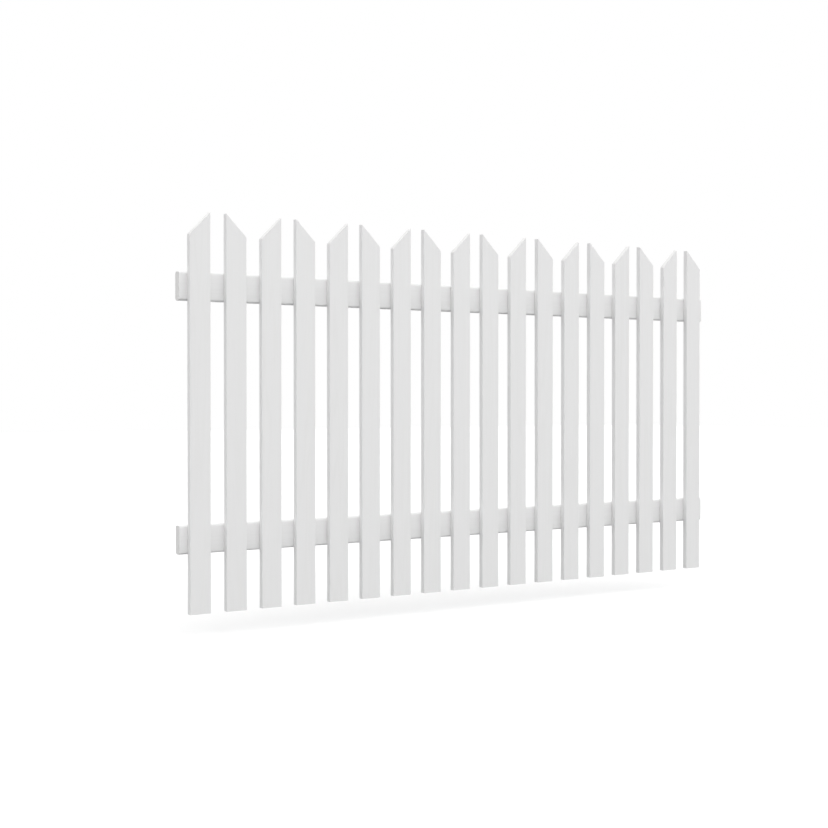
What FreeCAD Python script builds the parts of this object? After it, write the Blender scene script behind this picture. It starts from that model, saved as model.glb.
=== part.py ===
"""A picket fence panel: boards with mitred tops, in mirrored pairs, on the front of two rails.

Boards and rails are planed with rounded edges, and their ends are sawn off plain.
Sizes are in millimetres. X runs along the panel, Y from its front to its back and Z up.
The origin is the centre of the top rail's left end face, which goes against a post.
"""
import FreeCAD, Part
import os

import Sketcher

SIZES = {
    "picket_count": 18,
    "picket_width": 57,
    "picket_thickness": 16,
    "picket_length": 1000,
    "picket_gap": 43,
    "mitre_angle": 45,
    "picket_edge_radius": 3,
    "rail_height": 72,
    "rail_depth": 22,
    "rail_stub": 21.5,
    "rail_edge_radius": 6,
    "peak_above_top_rail": 149,
    "foot_below_bottom_rail": 149,
}

# places that more than one piece is set out from, as formulas over the sheet's sizes
PITCH = "(sizes.picket_width + sizes.picket_gap)"
FOOT_LEVEL = "(sizes.rail_height / 2 + sizes.peak_above_top_rail - sizes.picket_length)"
BOTTOM_RAIL_LEVEL = f"({FOOT_LEVEL} + sizes.foot_below_bottom_rail + sizes.rail_height / 2)"
TOP_RAIL_LEVEL = "0"
SHOULDER_HEIGHT = "(sizes.picket_length - sizes.picket_width * tan(sizes.mitre_angle))"
RAIL_LENGTH = f"(2 * sizes.rail_stub + sizes.picket_count * {PITCH} - sizes.picket_gap)"

ALONG_X = FreeCAD.Vector(1, 0, 0)
ALONG_Z = FreeCAD.Vector(0, 0, 1)
PARALLEL_TOLERANCE = 1e-6
SKETCH_ORIGIN = (-1, 1)
LINE_START = 1
LINE_END = 2


def make_sheet(doc):
    """Puts every driving size in a spreadsheet, each under its own alias."""
    sheet = doc.addObject("Spreadsheet::Sheet", "sizes")
    for row, (alias, value) in enumerate(SIZES.items(), start=1):
        sheet.set(f"A{row}", alias)
        sheet.set(f"B{row}", str(value))
        sheet.setAlias(f"B{row}", alias)
    doc.recompute()
    return sheet


def make_body(doc, label, x, y, z):
    """Makes an empty body whose place is given by three formulas."""
    body = doc.addObject("PartDesign::Body", label)
    body.Label = label
    body.setExpression("Placement.Base.x", x)
    body.setExpression("Placement.Base.y", y)
    body.setExpression("Placement.Base.z", z)
    return body


def make_sketch(body, role):
    """Makes a sketch on the body's own origin plane that has this role."""
    plane = next(item for item in body.Origin.OriginFeatures if item.Role == role)
    sketch = body.newObject("Sketcher::SketchObject", f"{body.Label}_outline")
    sketch.AttachmentSupport = (plane, [""])
    sketch.MapMode = "FlatFace"
    return sketch


def draw_outline(sketch, corners):
    """Draws straight lines from corner to corner, closed and joined at their ends."""
    next_corners = corners[1:] + corners[:1]
    lines = [
        sketch.addGeometry(Part.LineSegment(start, end), False)
        for start, end in zip(corners, next_corners)
    ]
    next_lines = lines[1:] + lines[:1]
    for line, next_line in zip(lines, next_lines):
        sketch.addConstraint(
            Sketcher.Constraint("Coincident", line, LINE_END, next_line, LINE_START))


def set_size(sketch, name, formula, *constraint):
    """Adds a named size to the sketch and ties it to a formula."""
    index = sketch.addConstraint(Sketcher.Constraint(*constraint))
    sketch.renameConstraint(index, name)
    sketch.setExpression(f"Constraints.{name}", formula)


def draw_picket_face(sketch, sheet, left_height, right_height):
    """Draws a board's face: square foot, two upright sides and the slanting cut on top."""
    foot, right_side, left_side = 0, 1, 3
    width = sheet.picket_width
    height = sheet.picket_length
    draw_outline(sketch, [
        FreeCAD.Vector(0, 0, 0),
        FreeCAD.Vector(width, 0, 0),
        FreeCAD.Vector(width, height, 0),
        FreeCAD.Vector(0, height, 0),
    ])
    sketch.addConstraint(Sketcher.Constraint("Coincident", foot, LINE_START, *SKETCH_ORIGIN))
    sketch.addConstraint(Sketcher.Constraint("Horizontal", foot))
    sketch.addConstraint(Sketcher.Constraint("Vertical", right_side))
    sketch.addConstraint(Sketcher.Constraint("Vertical", left_side))
    set_size(sketch, "width", "sizes.picket_width", "Distance", foot, width)
    set_size(sketch, "right_height", right_height, "Distance", right_side, height)
    set_size(sketch, "left_height", left_height, "Distance", left_side, height)


def draw_rail_section(sketch, sheet):
    """Draws a rail's section, a rectangle about the middle of the rail."""
    bottom, back, top, front = 0, 1, 2, 3
    half_depth = sheet.rail_depth / 2
    half_height = sheet.rail_height / 2
    draw_outline(sketch, [
        FreeCAD.Vector(-half_depth, -half_height, 0),
        FreeCAD.Vector(half_depth, -half_height, 0),
        FreeCAD.Vector(half_depth, half_height, 0),
        FreeCAD.Vector(-half_depth, half_height, 0),
    ])
    sketch.addConstraint(Sketcher.Constraint("Horizontal", bottom))
    sketch.addConstraint(Sketcher.Constraint("Horizontal", top))
    sketch.addConstraint(Sketcher.Constraint("Vertical", front))
    sketch.addConstraint(Sketcher.Constraint(
        "Symmetric", bottom, LINE_START, back, LINE_END, *SKETCH_ORIGIN))
    set_size(sketch, "depth", "sizes.rail_depth", "Distance", bottom, sheet.rail_depth)
    set_size(sketch, "height", "sizes.rail_height", "Distance", front, sheet.rail_height)


def pad_sketch(body, sketch, formula, reverse):
    """Thickens a sketch into a solid whose thickness is given by a formula."""
    pad = body.newObject("PartDesign::Pad", f"{body.Label}_pad")
    pad.Profile = sketch
    pad.Reversed = reverse
    pad.setExpression("Length", formula)
    return pad


def edge_names(shape, wanted):
    """Names the shape's edges that are among the wanted ones."""
    return [
        f"Edge{number}"
        for number, edge in enumerate(shape.Edges, start=1)
        if any(edge.isSame(other) for other in wanted)
    ]


def long_edges(shape, axis):
    """Finds the edges that run the way of the grain, the axis given."""
    return [
        edge for edge in shape.Edges
        if edge.tangentAt(edge.FirstParameter).cross(axis).Length < PARALLEL_TOLERANCE
    ]


def round_long_edges(body, base, axis, formula):
    """Rounds the edges that run along the axis, with a radius given by a formula."""
    body.Document.recompute()
    fillet = body.newObject("PartDesign::Fillet", f"{body.Label}_rounding")
    fillet.Base = (base, edge_names(base.Shape, long_edges(base.Shape, axis)))
    fillet.setExpression("Radius", formula)


def make_picket(doc, sheet, index):
    """Makes one board; in each pair the left board peaks on its right and the right on its left."""
    label = f"picket_{index + 1:02d}"
    x = f"sizes.rail_stub + {index} * {PITCH}"
    body = make_body(doc, label, x, "-sizes.rail_depth / 2", FOOT_LEVEL)
    sketch = make_sketch(body, "XZ_Plane")
    heights = [SHOULDER_HEIGHT, "sizes.picket_length"]
    is_left_of_pair = index % 2 == 0
    left_height, right_height = heights if is_left_of_pair else reversed(heights)
    draw_picket_face(sketch, sheet, left_height, right_height)
    pad = pad_sketch(body, sketch, "sizes.picket_thickness", reverse=False)
    round_long_edges(body, pad, ALONG_Z, "sizes.picket_edge_radius")
    return body


def make_rail(doc, sheet, label, level):
    """Makes one rail, planed all round, with its middle at the given level."""
    body = make_body(doc, label, "0", "0", level)
    sketch = make_sketch(body, "YZ_Plane")
    draw_rail_section(sketch, sheet)
    pad = pad_sketch(body, sketch, RAIL_LENGTH, reverse=False)
    round_long_edges(body, pad, ALONG_X, "sizes.rail_edge_radius")
    return body


def check_document(doc, bodies):
    """Stops if anything in the document failed or a piece isn't one sound solid."""
    for item in doc.Objects:
        if "Invalid" in item.State or "Error" in item.State:
            raise RuntimeError(f"{item.Label} failed: {item.State}")
    for body in bodies:
        if body.Shape.isNull() or not body.Shape.isValid() or len(body.Shape.Solids) != 1:
            raise RuntimeError(f"{body.Label} is not one valid solid")


def write_parts(bodies):
    """Writes each piece to a STEP file that has its name."""
    os.makedirs("parts", exist_ok=True)
    for body in bodies:
        body.Shape.exportStep(f"parts/{body.Label}.step")


def main():
    """Builds the panel, checks it and writes its pieces."""
    doc = FreeCAD.newDocument("picket_fence_panel")
    sheet = make_sheet(doc)
    bodies = [
        make_rail(doc, sheet, "top_rail", TOP_RAIL_LEVEL),
        make_rail(doc, sheet, "bottom_rail", BOTTOM_RAIL_LEVEL),
    ]
    for index in range(int(sheet.picket_count)):
        bodies.append(make_picket(doc, sheet, index))
    doc.recompute()
    check_document(doc, bodies)
    write_parts(bodies)


main()
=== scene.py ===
"""A white picket fence panel: painted boards and rails, screws on its back, and a plain studio.

Everything is in metres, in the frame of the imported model: X runs along the panel, Y from its
front to its back and Z up, and the origin is the middle of the top rail's left end. The boards
and rails are made anew with the model's sizes, so that the boards' backs lie crisply on the
rails and the screws sit in countersinks in the rails' backs.
"""
import itertools
import logging
import math
from dataclasses import dataclass
from enum import Enum
from typing import Any

import bpy
import numpy as np
from numpy.typing import NDArray
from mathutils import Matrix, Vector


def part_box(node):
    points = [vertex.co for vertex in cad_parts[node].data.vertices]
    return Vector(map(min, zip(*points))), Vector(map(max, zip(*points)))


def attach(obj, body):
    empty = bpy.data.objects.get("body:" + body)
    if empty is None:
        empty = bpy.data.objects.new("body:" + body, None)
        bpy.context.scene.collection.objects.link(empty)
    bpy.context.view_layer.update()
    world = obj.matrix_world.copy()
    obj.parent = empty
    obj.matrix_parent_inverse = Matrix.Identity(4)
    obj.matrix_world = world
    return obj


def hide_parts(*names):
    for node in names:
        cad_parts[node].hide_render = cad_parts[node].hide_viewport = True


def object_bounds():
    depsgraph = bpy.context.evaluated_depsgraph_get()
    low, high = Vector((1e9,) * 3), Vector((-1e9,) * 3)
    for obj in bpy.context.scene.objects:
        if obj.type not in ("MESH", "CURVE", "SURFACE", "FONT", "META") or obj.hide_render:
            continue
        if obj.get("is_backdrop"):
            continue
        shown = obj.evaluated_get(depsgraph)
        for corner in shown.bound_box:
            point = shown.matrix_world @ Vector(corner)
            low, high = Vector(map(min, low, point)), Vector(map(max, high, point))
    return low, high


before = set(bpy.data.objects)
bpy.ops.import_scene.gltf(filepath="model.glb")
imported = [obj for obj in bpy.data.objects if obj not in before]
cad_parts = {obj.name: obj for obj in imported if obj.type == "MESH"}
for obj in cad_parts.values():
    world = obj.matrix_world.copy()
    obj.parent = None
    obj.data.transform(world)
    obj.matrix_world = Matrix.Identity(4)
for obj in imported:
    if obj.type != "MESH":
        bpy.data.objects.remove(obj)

Floats = NDArray[np.float64]
Ints = NDArray[np.int64]
Colour = tuple[float, float, float, float]
Box = tuple[Floats, Floats]

X, Y, Z = range(3)
MM = 0.001
WHITE: Colour = (1.0, 1.0, 1.0, 1.0)

# faces that meet at more than this angle shade as a crisp edge
SHARP_ANGLE = math.radians(35)
# how far a flat side's own shading starts from a rounded corner or an eased cut
SHADING_MARGIN = 0.4 * MM
# stations that agree to a tenth of a micrometre are the same station
STATION_DIGITS = 7

# the sRGB curve: a straight toe, and a power curve above it
BYTE_MAX = 255
SRGB_TOE = 0.04045
SRGB_TOE_SLOPE = 12.92
SRGB_OFFSET = 0.055
SRGB_POWER = 2.4

# a mixing node's two inputs and its result by number, since colours and values share their names
COLOUR_A, COLOUR_B, MIXED_COLOUR = 6, 7, 2
VALUE_A, VALUE_B, MIXED_VALUE = 2, 3, 0

log = logging.getLogger("picket_fence_panel")


class Grain(Enum):
    """The axis that a piece of timber's grain runs along."""

    LEVEL = X
    UPRIGHT = Z


class Peak(Enum):
    """The edge of a board that has the point, from the front, in the order of a pair's boards."""

    RIGHT = "right"
    LEFT = "left"


def linear_colour(srgb_hex: str) -> Colour:
    """Turns an sRGB hex colour into the linear colour that a shader takes.

    Args:
        srgb_hex: The colour as a hash sign and six hex digits.

    Returns:
        Red, green and blue from 0 to 1, and an alpha of 1.
    """
    levels = [byte / BYTE_MAX for byte in bytes.fromhex(srgb_hex.removeprefix("#"))]
    red, green, blue = (
        level / SRGB_TOE_SLOPE if level <= SRGB_TOE
        else ((level + SRGB_OFFSET) / (1 + SRGB_OFFSET)) ** SRGB_POWER
        for level in levels
    )
    return red, green, blue, 1.0


def add_node(
    tree: bpy.types.NodeTree, kind: str, inputs: dict[str | int, Any] | None = None, **settings: Any
) -> bpy.types.Node:
    """Adds a node to a tree, with its settings and what goes into it.

    Args:
        tree: The tree that gets the node.
        kind: The node's type.
        inputs: What goes into each input, by its name or number: another node's output, or a value.
        settings: The node's own settings, by name.

    Returns:
        The new node.
    """
    node = tree.nodes.new(kind)
    for name, value in settings.items():
        setattr(node, name, value)
    for key, value in (inputs or {}).items():
        if isinstance(value, bpy.types.NodeSocket):
            tree.links.new(value, node.inputs[key])
        else:
            node.inputs[key].default_value = value
    return node


def empty_tree(owner: bpy.types.Material | bpy.types.World) -> bpy.types.NodeTree:
    """Turns on the nodes of a material or world and clears them.

    Args:
        owner: The material or world.

    Returns:
        Its tree, with nothing in it.
    """
    owner.use_nodes = True
    owner.node_tree.nodes.clear()
    return owner.node_tree


def add_background_rays(tree: bpy.types.NodeTree) -> bpy.types.NodeSocket:
    """Adds the nodes that tell which rays see the background.

    Args:
        tree: The tree of the floor's material or of the world.

    Returns:
        An output of 1 for the rays of the camera, of gloss and through glass, and 0 for those
        that light the object.
    """
    rays = add_node(tree, "ShaderNodeLightPath").outputs
    gloss_or_glass = add_node(
        tree, "ShaderNodeMath", {0: rays["Is Glossy Ray"], 1: rays["Is Transmission Ray"]},
        operation="MAXIMUM")
    any_of_them = add_node(
        tree, "ShaderNodeMath", {0: rays["Is Camera Ray"], 1: gloss_or_glass.outputs[0]},
        operation="MAXIMUM")
    return any_of_them.outputs[0]


@dataclass(frozen=True)
class PaintedPine:
    """Satin exterior paint on planed pine, sprayed and laid off with a brush along the board.

    The eye sees an even white with a soft sheen. Close by, the hard lines of the growth rings
    stand up a little through the paint, with fine brush marks between them, and the sawn ends
    are duller and slightly open. A pair of sizes is a pattern's size across and along the grain.
    """

    name: str
    grain: Grain
    colour: str = "#ECECEC"
    thin_colour: str = "#E6E6E5"
    end_colour: str = "#E9E9E8"
    board_tone_mm: tuple[float, float] = (70.0, 900.0)
    cathedral_mm: tuple[float, float] = (34.0, 620.0)
    rings_in_cathedral: float = 7.0
    ring_line_start: float = -0.2
    brush_mark_mm: tuple[float, float] = (1.4, 70.0)
    end_pore_mm: tuple[float, float] = (1.2, 1.2)
    ring_height_mm: float = 0.05
    brush_height_mm: float = 0.02
    pore_depth_mm: float = 0.06
    sheen_roughness: tuple[float, float] = (0.40, 0.50)
    end_roughness: float = 0.62
    end_facing: tuple[float, float] = (0.45, 0.60)
    thin_share: float = 0.35
    ior: float = 1.5

    def pattern(
        self, tree: bpy.types.NodeTree, place: bpy.types.NodeSocket, size_mm: tuple[float, float],
        detail: float
    ) -> bpy.types.NodeSocket:
        """Adds a random pattern that is as wide and as long as given.

        It is a noise, worked out at the place divided by the pattern's size along each axis.

        Args:
            tree: The material's tree.
            place: The place on the object, in metres.
            size_mm: The pattern's size across and along the grain.
            detail: How many finer layers the pattern has.

        Returns:
            The pattern, from 0 to 1.
        """
        across, along = size_mm
        sizes = [across, across, across]
        sizes[self.grain.value] = along
        scale = tuple(1 / (size * MM) for size in sizes)
        squeezed = add_node(tree, "ShaderNodeMapping", {"Vector": place, "Scale": scale})
        return add_node(
            tree, "ShaderNodeTexNoise",
            {"Vector": squeezed.outputs["Vector"], "Scale": 1.0, "Detail": detail},
        ).outputs["Fac"]

    def growth_rings(
        self, tree: bpy.types.NodeTree, place: bpy.types.NodeSocket
    ) -> bpy.types.NodeSocket:
        """Adds the hard lines of the growth rings.

        The lines are the contours of a noise stretched along the grain, as a saw cuts them: the
        noise times the number of rings is put through a sine, and its upper part is a line.

        Args:
            tree: The material's tree.
            place: The place on the object, in metres.

        Returns:
            1 on a line and 0 between the lines.
        """
        hill = self.pattern(tree, place, self.cathedral_mm, detail=2.0)
        turns = add_node(
            tree, "ShaderNodeMath", {0: hill, 1: 2 * math.pi * self.rings_in_cathedral},
            operation="MULTIPLY")
        wave = add_node(tree, "ShaderNodeMath", {0: turns.outputs[0]}, operation="SINE")
        return add_node(
            tree, "ShaderNodeMapRange",
            {"Value": wave.outputs[0], "From Min": self.ring_line_start, "From Max": 1.0},
            interpolation_type="SMOOTHSTEP",
        ).outputs["Result"]

    def end_cuts(self, tree: bpy.types.NodeTree) -> bpy.types.NodeSocket:
        """Adds a mask of the sawn ends, square or mitred, which face more or less along the grain.

        Args:
            tree: The material's tree.

        Returns:
            1 on the ends and 0 on the planed faces.
        """
        normal = add_node(tree, "ShaderNodeNewGeometry").outputs["Normal"]
        facing = add_node(tree, "ShaderNodeSeparateXYZ", {0: normal})
        along = add_node(
            tree, "ShaderNodeMath", {0: facing.outputs[self.grain.value]}, operation="ABSOLUTE")
        low, high = self.end_facing
        return add_node(
            tree, "ShaderNodeMapRange",
            {"Value": along.outputs[0], "From Min": low, "From Max": high},
        ).outputs["Result"]

    def material(self) -> bpy.types.Material:
        """Makes the material.

        Returns:
            A material whose colour, roughness and relief follow the timber under the paint.
        """
        material = bpy.data.materials.new(self.name)
        tree = empty_tree(material)
        place = add_node(tree, "ShaderNodeTexCoord").outputs["Object"]
        rings = self.growth_rings(tree, place)
        brush = self.pattern(tree, place, self.brush_mark_mm, detail=2.0)
        tone = self.pattern(tree, place, self.board_tone_mm, detail=1.0)
        pores = self.pattern(tree, place, self.end_pore_mm, detail=1.0)
        end = self.end_cuts(tree)

        # the paint lies thinner on the hard lines, and more so on some boards than on others
        thin = add_node(tree, "ShaderNodeMath", {0: rings, 1: tone}, operation="MULTIPLY")
        thin_part = add_node(
            tree, "ShaderNodeMath", {0: thin.outputs[0], 1: self.thin_share}, operation="MULTIPLY")
        face = add_node(
            tree, "ShaderNodeMix",
            {"Factor": thin_part.outputs[0], COLOUR_A: linear_colour(self.colour),
             COLOUR_B: linear_colour(self.thin_colour)},
            data_type="RGBA")
        colour = add_node(
            tree, "ShaderNodeMix",
            {"Factor": end, COLOUR_A: face.outputs[MIXED_COLOUR],
             COLOUR_B: linear_colour(self.end_colour)},
            data_type="RGBA")

        low, high = self.sheen_roughness
        sheen = add_node(
            tree, "ShaderNodeMapRange", {"Value": brush, "To Min": low, "To Max": high})
        roughness = add_node(
            tree, "ShaderNodeMix",
            {"Factor": end, VALUE_A: sheen.outputs["Result"], VALUE_B: self.end_roughness},
            data_type="FLOAT")

        ring_relief = add_node(
            tree, "ShaderNodeMath", {0: rings, 1: self.ring_height_mm * MM}, operation="MULTIPLY")
        face_relief = add_node(
            tree, "ShaderNodeMath",
            {0: brush, 1: self.brush_height_mm * MM, 2: ring_relief.outputs[0]},
            operation="MULTIPLY_ADD")
        end_relief = add_node(
            tree, "ShaderNodeMath", {0: pores, 1: self.pore_depth_mm * MM}, operation="MULTIPLY")
        relief = add_node(
            tree, "ShaderNodeMix",
            {"Factor": end, VALUE_A: face_relief.outputs[0], VALUE_B: end_relief.outputs[0]},
            data_type="FLOAT")
        bump = add_node(
            tree, "ShaderNodeBump",
            {"Height": relief.outputs[MIXED_VALUE], "Distance": 1.0, "Strength": 1.0})

        shader = add_node(
            tree, "ShaderNodeBsdfPrincipled",
            {"Base Color": colour.outputs[MIXED_COLOUR],
             "Roughness": roughness.outputs[MIXED_VALUE],
             "Normal": bump.outputs["Normal"], "IOR": self.ior})
        add_node(tree, "ShaderNodeOutputMaterial", {"Surface": shader.outputs["BSDF"]})
        return material


@dataclass(frozen=True)
class PlatedSteel:
    """Cold-headed steel screws, zinc plated and clear passivated.

    The eye sees small cool grey discs with a soft shine, cloudy from the plating.
    """

    name: str
    colour: str = "#C3C6CB"
    cloud_colour: str = "#AEB2BA"
    cloud_mm: float = 2.5
    roughness: tuple[float, float] = (0.28, 0.45)

    def material(self) -> bpy.types.Material:
        """Makes the material.

        Returns:
            A metal whose tint and roughness change from cloud to cloud.
        """
        material = bpy.data.materials.new(self.name)
        tree = empty_tree(material)
        place = add_node(tree, "ShaderNodeTexCoord").outputs["Object"]
        cloud = add_node(
            tree, "ShaderNodeTexNoise",
            {"Vector": place, "Scale": 1 / (self.cloud_mm * MM), "Detail": 2.0},
        ).outputs["Fac"]
        tint = add_node(
            tree, "ShaderNodeMix",
            {"Factor": cloud, COLOUR_A: linear_colour(self.colour),
             COLOUR_B: linear_colour(self.cloud_colour)},
            data_type="RGBA")
        low, high = self.roughness
        dull = add_node(
            tree, "ShaderNodeMapRange", {"Value": cloud, "To Min": low, "To Max": high})
        shader = add_node(
            tree, "ShaderNodeBsdfPrincipled",
            {"Base Color": tint.outputs[MIXED_COLOUR], "Roughness": dull.outputs["Result"],
             "Metallic": 1.0})
        add_node(tree, "ShaderNodeOutputMaterial", {"Surface": shader.outputs["BSDF"]})
        return material


def add_piece(
    name: str, points: Floats, faces: list[list[int]], material: bpy.types.Material
) -> bpy.types.Object:
    """Adds a mesh of one material to the scene.

    Args:
        name: The object's name.
        points: The places of the vertices, as rows of X, Y and Z.
        faces: The faces, as lists of vertex numbers.
        material: What the whole piece is made of.

    Returns:
        The new object, at the origin and unturned.
    """
    mesh = bpy.data.meshes.new(name)
    mesh.from_pydata(points.tolist(), [], faces)
    mesh.materials.append(material)
    piece = bpy.data.objects.new(name, mesh)
    bpy.context.scene.collection.objects.link(piece)
    return piece


def tube_faces(tubes: int, rings: int, around: int) -> tuple[Ints, Ints]:
    """Works out the faces of closed tubes whose vertices are their rings and then two end points.

    Each four-sided face joins two neighbours on a ring to the same two on the next ring, and each
    end is closed by triangles from its ring to its end point.

    Args:
        tubes: How many tubes there are.
        rings: How many rings each tube has.
        around: How many points each ring has.

    Returns:
        The four-sided faces and the triangles, as rows of vertex numbers.
    """
    number = np.arange(rings * around).reshape(rings, around)
    after = np.roll(number, -1, axis=1)
    sides = np.stack([number[:-1], after[:-1], after[1:], number[1:]], axis=-1).reshape(-1, 4)
    first_end = rings * around
    last_end = first_end + 1
    ends = np.concatenate([
        np.stack([np.full(around, first_end), after[0], number[0]], axis=-1),
        np.stack([np.full(around, last_end), number[-1], after[-1]], axis=-1),
    ])
    start = (np.arange(tubes) * (last_end + 1))[:, None, None]
    return (sides + start).reshape(-1, 4), (ends + start).reshape(-1, 3)


def make_tubes(name: str, rings: Floats, material: bpy.types.Material) -> bpy.types.Object:
    """Makes one object of closed tubes.

    Seen against the way that its rings follow each other, each ring runs anticlockwise, so the
    faces point out.

    Args:
        name: The object's name.
        rings: The points, as an array of tubes by rings by points by 3.
        material: What the tubes are made of.

    Returns:
        The object, with smooth faces that break at sharp edges.
    """
    tubes, ring_count, around, _ = rings.shape
    ends = rings[:, (0, -1)].mean(axis=2)
    points = np.concatenate([rings.reshape(tubes, -1, 3), ends], axis=1).reshape(-1, 3)
    sides, caps = tube_faces(tubes, ring_count, around)
    piece = add_piece(name, points, sides.tolist() + caps.tolist(), material)
    mesh = piece.data
    mesh.polygons.foreach_set("use_smooth", np.ones(len(mesh.polygons), dtype=bool))
    mesh.set_sharp_from_angle(angle=SHARP_ANGLE)
    mesh.update()
    return piece


def rounded_corners(half_sizes: Floats, radius: float, steps: int, flat_sides: bool) -> Floats:
    """Works out the corners of a rectangle about its middle, each a quarter circle.

    A corner's points are the middle of its circle plus the radius times the cosine and sine of
    the turn. For flat sides, one more point lies on the straight line before and after each
    circle, so that the corners' shading doesn't spread over them. Without those points the sides
    shade as if they were a little crowned.

    Args:
        half_sizes: Half the rectangle's two sizes.
        radius: The radius of the corners.
        steps: How many lines a quarter circle has.
        flat_sides: Whether the sides shade flat.

    Returns:
        The points, anticlockwise from the corner at the high ends of both sizes, as rows of two.
    """
    quarter = np.linspace(0, np.pi / 2, steps + 1)
    past = np.zeros_like(quarter)
    if flat_sides:
        quarter = np.pad(quarter, 1, mode="edge")
        past = np.pad(past, 1, constant_values=(-SHADING_MARGIN, SHADING_MARGIN))
    turn = np.arange(4)[:, None] * np.pi / 2 + quarter
    outward = np.stack([np.cos(turn), np.sin(turn)], axis=-1)
    onward = np.stack([-np.sin(turn), np.cos(turn)], axis=-1)
    side = np.array([[1, 1], [-1, 1], [-1, -1], [1, -1]])[:, None]
    middle = side * (half_sizes - radius)
    return (middle + radius * outward + past[:, None] * onward).reshape(-1, 2)


def node_box(node: str) -> Box:
    """Gives the lowest and highest corner of one of the model's nodes."""
    low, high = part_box(node)
    return np.array(low), np.array(high)


@dataclass(frozen=True)
class Screw:
    """The head of a countersunk screw with a lobed socket, and the countersink that it sits in."""

    head_radius: float = 3.9 * MM
    rim_height: float = 0.15 * MM
    rim_ease: float = 0.15 * MM
    neck_radius: float = 1.3 * MM
    socket_radius: float = 1.65 * MM
    socket_depth: float = 1.8 * MM
    socket_taper: float = 0.92
    lobes: int = 6
    lobe_height: float = 0.25 * MM
    sink: float = 0.6 * MM
    clearance: float = 0.25 * MM
    lip: float = 1.0 * MM
    points_around: int = 36

    @property
    def hole_radius(self) -> float:
        """Gives the radius of the hole that the head's rim lies in."""
        return self.head_radius + self.clearance

    @property
    def reach(self) -> float:
        """Gives the distance from the screw's middle at which the timber is untouched."""
        return self.hole_radius + self.lip

    def countersink_depth(self, distance: Floats) -> Floats:
        """Works out how deep the timber lies at a distance from the screw's middle.

        Over the lip the depth grows evenly from 0 to the sink. At the hole it grows at once by
        the height of the head's rim, and further in as a cone of 45 degrees, which lies deeper
        than the head's own cone by the clearance.

        Args:
            distance: The distances from the screw's middle.

        Returns:
            The depths, 0 where the timber is untouched.
        """
        slope = self.sink * np.clip((self.reach - distance) / self.lip, 0, 1)
        step = self.rim_height * (distance < self.hole_radius)
        cone = np.clip(self.hole_radius - distance, 0, None)
        return slope + step + cone

    def rings(self, middles: Floats) -> Floats:
        """Works out the rings of the heads, each turned about an axis that points the way of Y.

        A head's outline runs from its neck up the cone, over the rim, across the flat and down
        into the socket, whose radius is a circle's plus a cosine with a turn for each lobe.

        Args:
            middles: The middle of each head's flat, as rows of X, Y and Z.

        Returns:
            The points, as an array of heads by rings by points by 3.
        """
        turn = np.linspace(0, 2 * np.pi, self.points_around, endpoint=False)
        socket = self.socket_radius + self.lobe_height * np.cos(self.lobes * turn)
        even = np.ones_like(turn)
        cone_height = self.head_radius - self.neck_radius
        radius = np.stack([
            self.neck_radius * even,
            self.head_radius * even,
            self.head_radius * even,
            (self.head_radius - self.rim_ease) * even,
            socket,
            self.socket_taper * socket,
        ])
        depth = np.array([
            self.rim_height + cone_height,
            self.rim_height + self.rim_ease,
            self.rim_ease,
            0,
            0,
            self.socket_depth,
        ])
        shape = np.stack([
            radius * np.sin(turn),
            np.broadcast_to(-depth[:, None], radius.shape),
            radius * np.cos(turn),
        ], axis=-1)
        return middles[:, None, None, :] + shape


@dataclass
class Picket:
    """One upright board with a mitred top, planed round along its edges and sawn crisp."""

    node: str
    slot: str
    peak: Peak
    paint: bpy.types.Material
    edge_radius: float = 2 * MM
    edge_steps: int = 5
    end_ease: float = 0.3 * MM
    mitre_angle: float = math.radians(45)

    @property
    def middle(self) -> float:
        """Gives the X of the board's middle."""
        low, high = node_box(self.node)
        return (low[X] + high[X]) / 2

    def mitre(self, along: Floats) -> Floats:
        """Works out how high the top is, which falls on a slant from the edge with the point.

        Args:
            along: The X of the places.

        Returns:
            Their Z.
        """
        low, high = node_box(self.node)
        from_peak = high[X] - along if self.peak is Peak.RIGHT else along - low[X]
        return high[Z] - math.tan(self.mitre_angle) * from_peak

    def rings(self) -> Floats:
        """Works out the board's surface, its section carried up from the foot to the mitre.

        The ring at each end is drawn in by the easing, and the next one stands back from the cut
        by as much. A further ring under the mitre keeps the easing's shading off the long sides.

        Returns:
            The points, as an array of one tube by rings by points by 3.
        """
        low, high = node_box(self.node)
        middle, half = (low + high)[:Z] / 2, (high - low)[:Z] / 2
        section = rounded_corners(half, self.edge_radius, self.edge_steps, flat_sides=True)
        full = section + middle
        drawn_in = section * (1 - self.end_ease / half) + middle
        below_mitre = self.end_ease / math.cos(self.mitre_angle)
        places = np.stack([drawn_in, full, full, full, drawn_in])
        levels = np.stack([
            np.full(len(section), low[Z]),
            np.full(len(section), low[Z] + self.end_ease),
            self.mitre(full[:, X]) - below_mitre - SHADING_MARGIN,
            self.mitre(full[:, X]) - below_mitre,
            self.mitre(drawn_in[:, X]),
        ])
        return np.concatenate([places, levels[..., None]], axis=-1)[None]

    def build(self) -> list[bpy.types.ID]:
        """Makes the board in place of the model's plain one.

        Returns:
            The board.
        """
        board = make_tubes(f"{self.node}_board", self.rings(), self.paint)
        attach(board, "root")
        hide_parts(self.node)
        return [board]


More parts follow.
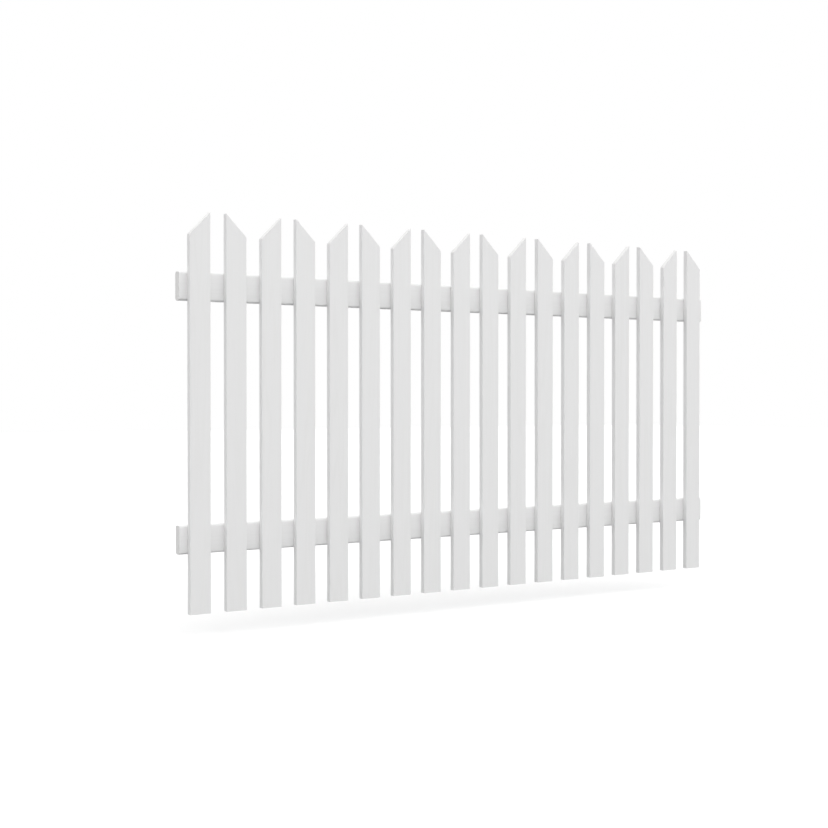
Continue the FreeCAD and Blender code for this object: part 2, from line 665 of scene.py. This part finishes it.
@dataclass
class Rail:
    """One level rail, with the screws that hold the boards driven into its back."""

    node: str
    slot: str
    paint: bpy.types.Material
    steel: bpy.types.Material
    board_middles: Floats
    screw: Screw = Screw()
    edge_radius: float = 6 * MM
    edge_steps: int = 5
    end_ease: float = 0.4 * MM
    screw_from_board_middle: float = 10 * MM
    screw_from_rail_middle: float = 14 * MM
    countersink_rows: int = 21

    def screw_middles(self) -> Floats:
        """Places two screws behind each board, on the slant so that they don't split it.

        Returns:
            The middle of each head's flat, as rows of X, Y and Z.
        """
        low, high = node_box(self.node)
        level = (low[Z] + high[Z]) / 2
        aside, apart = self.screw_from_board_middle, self.screw_from_rail_middle
        places = self.board_middles[:, None] + np.array([-aside, aside])
        levels = np.broadcast_to(level + np.array([apart, -apart]), places.shape)
        face = np.full(places.size, high[Y] - self.screw.sink)
        return np.stack([places.ravel(), face, levels.ravel()], axis=-1)

    def countersink_grid(self) -> Floats:
        """Works out the rows of points across a countersink.

        They are spaced evenly out to where the timber is untouched. One more row lies beyond them
        on each side, so that the face past it shades flat.

        Returns:
            The places of the rows, from the screw's middle.
        """
        spacing = 2 * self.screw.reach / (self.countersink_rows - 1)
        outermost = self.screw.reach + spacing
        return np.linspace(-outermost, outermost, self.countersink_rows + 2)

    def section(self) -> Floats:
        """Works out the rail's section, about its middle.

        It is a rectangle whose corners are quarter circles. On the back, rows of points lie close
        together where the countersinks are.

        Returns:
            Rows of Y and Z, anticlockwise seen from the right end.
        """
        low, high = node_box(self.node)
        half = (high - low)[Y:] / 2
        across, apart = self.countersink_grid(), self.screw_from_rail_middle
        rows = np.concatenate([across - apart, across + apart])
        back = np.stack([np.full(rows.size, half[0]), rows], axis=-1)
        corners = rounded_corners(half, self.edge_radius, self.edge_steps, flat_sides=False)
        return np.concatenate([back, corners])

    def stations(self) -> Floats:
        """Works out where along the rail its rings lie.

        Returns:
            Their X: the ends, the eased ends, and close together where the countersinks are.
        """
        low, high = node_box(self.node)
        near_screws = self.screw_middles()[:, X][:, None] + self.countersink_grid()
        ends = [low[X], low[X] + self.end_ease, high[X] - self.end_ease, high[X]]
        return np.unique(np.round(np.concatenate([ends, near_screws.ravel()]), STATION_DIGITS))

    def rings(self) -> Floats:
        """Works out the rail's surface, its section carried along X.

        At the two ends the section is drawn in by the easing, and on the back each point goes in
        by the depth of the nearest countersink.

        Returns:
            The points, as an array of one tube by rings by points by 3.
        """
        low, high = node_box(self.node)
        middle, half = (low + high) / 2, (high - low) / 2
        along, section = self.stations(), self.section()
        drawn_in = np.zeros((along.size, 2))
        drawn_in[(0, -1), :] = self.end_ease / half[Y:]
        around = section[None] * (1 - drawn_in[:, None]) + middle[Y:]
        places_along = np.broadcast_to(along[:, None, None], (*around.shape[:2], 1))
        points = np.concatenate([places_along, around], axis=-1)

        screws = self.screw_middles()
        away = points[:, :, None, (X, Z)] - screws[None, None, :, (X, Z)]
        depth = self.screw.countersink_depth(np.linalg.norm(away, axis=-1).min(axis=-1))
        # only the flat of the back, between its rounded edges, has countersinks
        flat_height = half[Z] - self.edge_radius
        on_back = np.isclose(section[:, 0], half[Y]) & (np.abs(section[:, 1]) < flat_height)
        points[:, :, Y] -= depth * on_back
        return points[None]

    def build(self) -> list[bpy.types.ID]:
        """Makes the rail and its screws in place of the model's plain rail.

        Returns:
            The rail and its screws.
        """
        timber = make_tubes(f"{self.node}_timber", self.rings(), self.paint)
        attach(timber, "root")
        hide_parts(self.node)
        heads = make_tubes(
            f"{self.node}_screws", self.screw.rings(self.screw_middles()), self.steel)
        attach(heads, "root")
        return [timber, heads]


@dataclass(frozen=True)
class Camera:
    """The camera, as for the picture in front of the panel and to its left, at half its height."""

    place: tuple[float, float, float] = (-1.4448, -3.2060, -0.2766)
    heading: float = math.radians(33.86)
    tilt: float = math.radians(-0.67)
    lens_mm: float = 60.85
    sensor_mm: float = 36.0

    def build(self) -> list[bpy.types.ID]:
        """Makes the camera and films through it.

        Returns:
            The camera.
        """
        data = bpy.data.cameras.new("camera")
        data.lens = self.lens_mm
        data.sensor_width = self.sensor_mm
        camera = bpy.data.objects.new("camera", data)
        camera.location = self.place
        # an unturned camera looks down, and a quarter turn about X makes it look level along Y
        camera.rotation_euler = (math.pi / 2 + self.tilt, 0, -self.heading)
        bpy.context.scene.collection.objects.link(camera)
        bpy.context.scene.camera = camera
        return [camera]


@dataclass(frozen=True)
class Studio:
    """A plain soft studio: light from all round, a little stronger from the front, and a floor.

    The light that comes from a direction is the level plus that direction's share of the lean, so
    a surface's brightness changes evenly with the way that it faces. The floor is pale to the
    camera, lies a little below the boards' feet and gives back less light than it shows.
    """

    lowest: float
    level: float = 1.35
    lean: tuple[float, float, float] = (0.10, -0.40, -0.15)
    floor_colour: str = "#F9F9F9"
    floor_return_colour: str = "#6C6C6C"
    floor_half_width: float = 20.0
    ground_clearance: float = 60 * MM

    def build_light(self) -> bpy.types.World:
        """Lights the object from the world.

        Returns:
            The world, which is plain white to the camera.
        """
        world = bpy.data.worlds.new("soft_studio_light")
        tree = empty_tree(world)
        facing = add_node(tree, "ShaderNodeTexCoord").outputs["Generated"]
        leaning = add_node(
            tree, "ShaderNodeVectorMath", {0: facing, 1: self.lean}, operation="DOT_PRODUCT")
        strength = add_node(
            tree, "ShaderNodeMath", {0: leaning.outputs["Value"], 1: self.level}, operation="ADD")
        light = add_node(
            tree, "ShaderNodeBackground", {"Color": WHITE, "Strength": strength.outputs[0]})
        seen = add_node(tree, "ShaderNodeBackground", {"Color": WHITE, "Strength": 1.0})
        either = add_node(
            tree, "ShaderNodeMixShader",
            {0: add_background_rays(tree), 1: light.outputs[0], 2: seen.outputs[0]})
        add_node(tree, "ShaderNodeOutputWorld", {"Surface": either.outputs[0]})
        bpy.context.scene.world = world
        return world

    def floor_material(self) -> bpy.types.Material:
        """Makes the floor's matt paint.

        Returns:
            A material that is pale to the camera and greyer in the light that it gives back.
        """
        material = bpy.data.materials.new("matt_studio_floor_paint")
        tree = empty_tree(material)
        seen = add_node(
            tree, "ShaderNodeBsdfDiffuse", {"Color": linear_colour(self.floor_colour)})
        given_back = add_node(
            tree, "ShaderNodeBsdfDiffuse", {"Color": linear_colour(self.floor_return_colour)})
        either = add_node(
            tree, "ShaderNodeMixShader",
            {0: add_background_rays(tree), 1: given_back.outputs[0], 2: seen.outputs[0]})
        add_node(tree, "ShaderNodeOutputMaterial", {"Surface": either.outputs[0]})
        return material

    def build_floor(self) -> bpy.types.Object:
        """Lays the floor.

        Returns:
            The floor, one level square.
        """
        half, level = self.floor_half_width, self.lowest - self.ground_clearance
        corners = np.array([
            [-half, -half, level],
            [half, -half, level],
            [half, half, level],
            [-half, half, level],
        ])
        floor = add_piece("studio_floor", corners, [[0, 1, 2, 3]], self.floor_material())
        floor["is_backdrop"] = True
        return floor

    def build(self) -> list[bpy.types.ID]:
        """Sets the light and lays the floor, and gives them both."""
        return [self.build_light(), self.build_floor()]


def shown_box() -> Box:
    """Gives the lowest and highest corner of what shows of the panel."""
    low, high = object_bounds()
    return np.array(low), np.array(high)


def main() -> None:
    """Builds the dressed panel and the studio round it in order, and reports each piece."""
    logging.basicConfig(level=logging.INFO, format="%(name)s: %(message)s")
    model = shown_box()
    bpy.context.scene.view_settings.view_transform = "Standard"

    upright_paint = PaintedPine("satin_painted_pine_upright", Grain.UPRIGHT).material()
    level_paint = PaintedPine("satin_painted_pine_level", Grain.LEVEL).material()
    screw_steel = PlatedSteel("zinc_plated_steel").material()

    picket_nodes = sorted(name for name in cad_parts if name.startswith("picket_"))
    pickets = [
        Picket(node, "picket_paint", peak, upright_paint)
        for node, peak in zip(picket_nodes, itertools.cycle(Peak))
    ]
    board_middles = np.array([picket.middle for picket in pickets])
    rails = [
        Rail(node, "rail_paint", level_paint, screw_steel, board_middles)
        for node in ("top_rail", "bottom_rail")
    ]
    for assembly in (Camera(), *pickets, *rails, Studio(lowest=model[0][Z])):
        for piece in assembly.build():
            log.info("%s made", piece.name)


if __name__ == "__main__":
    main()
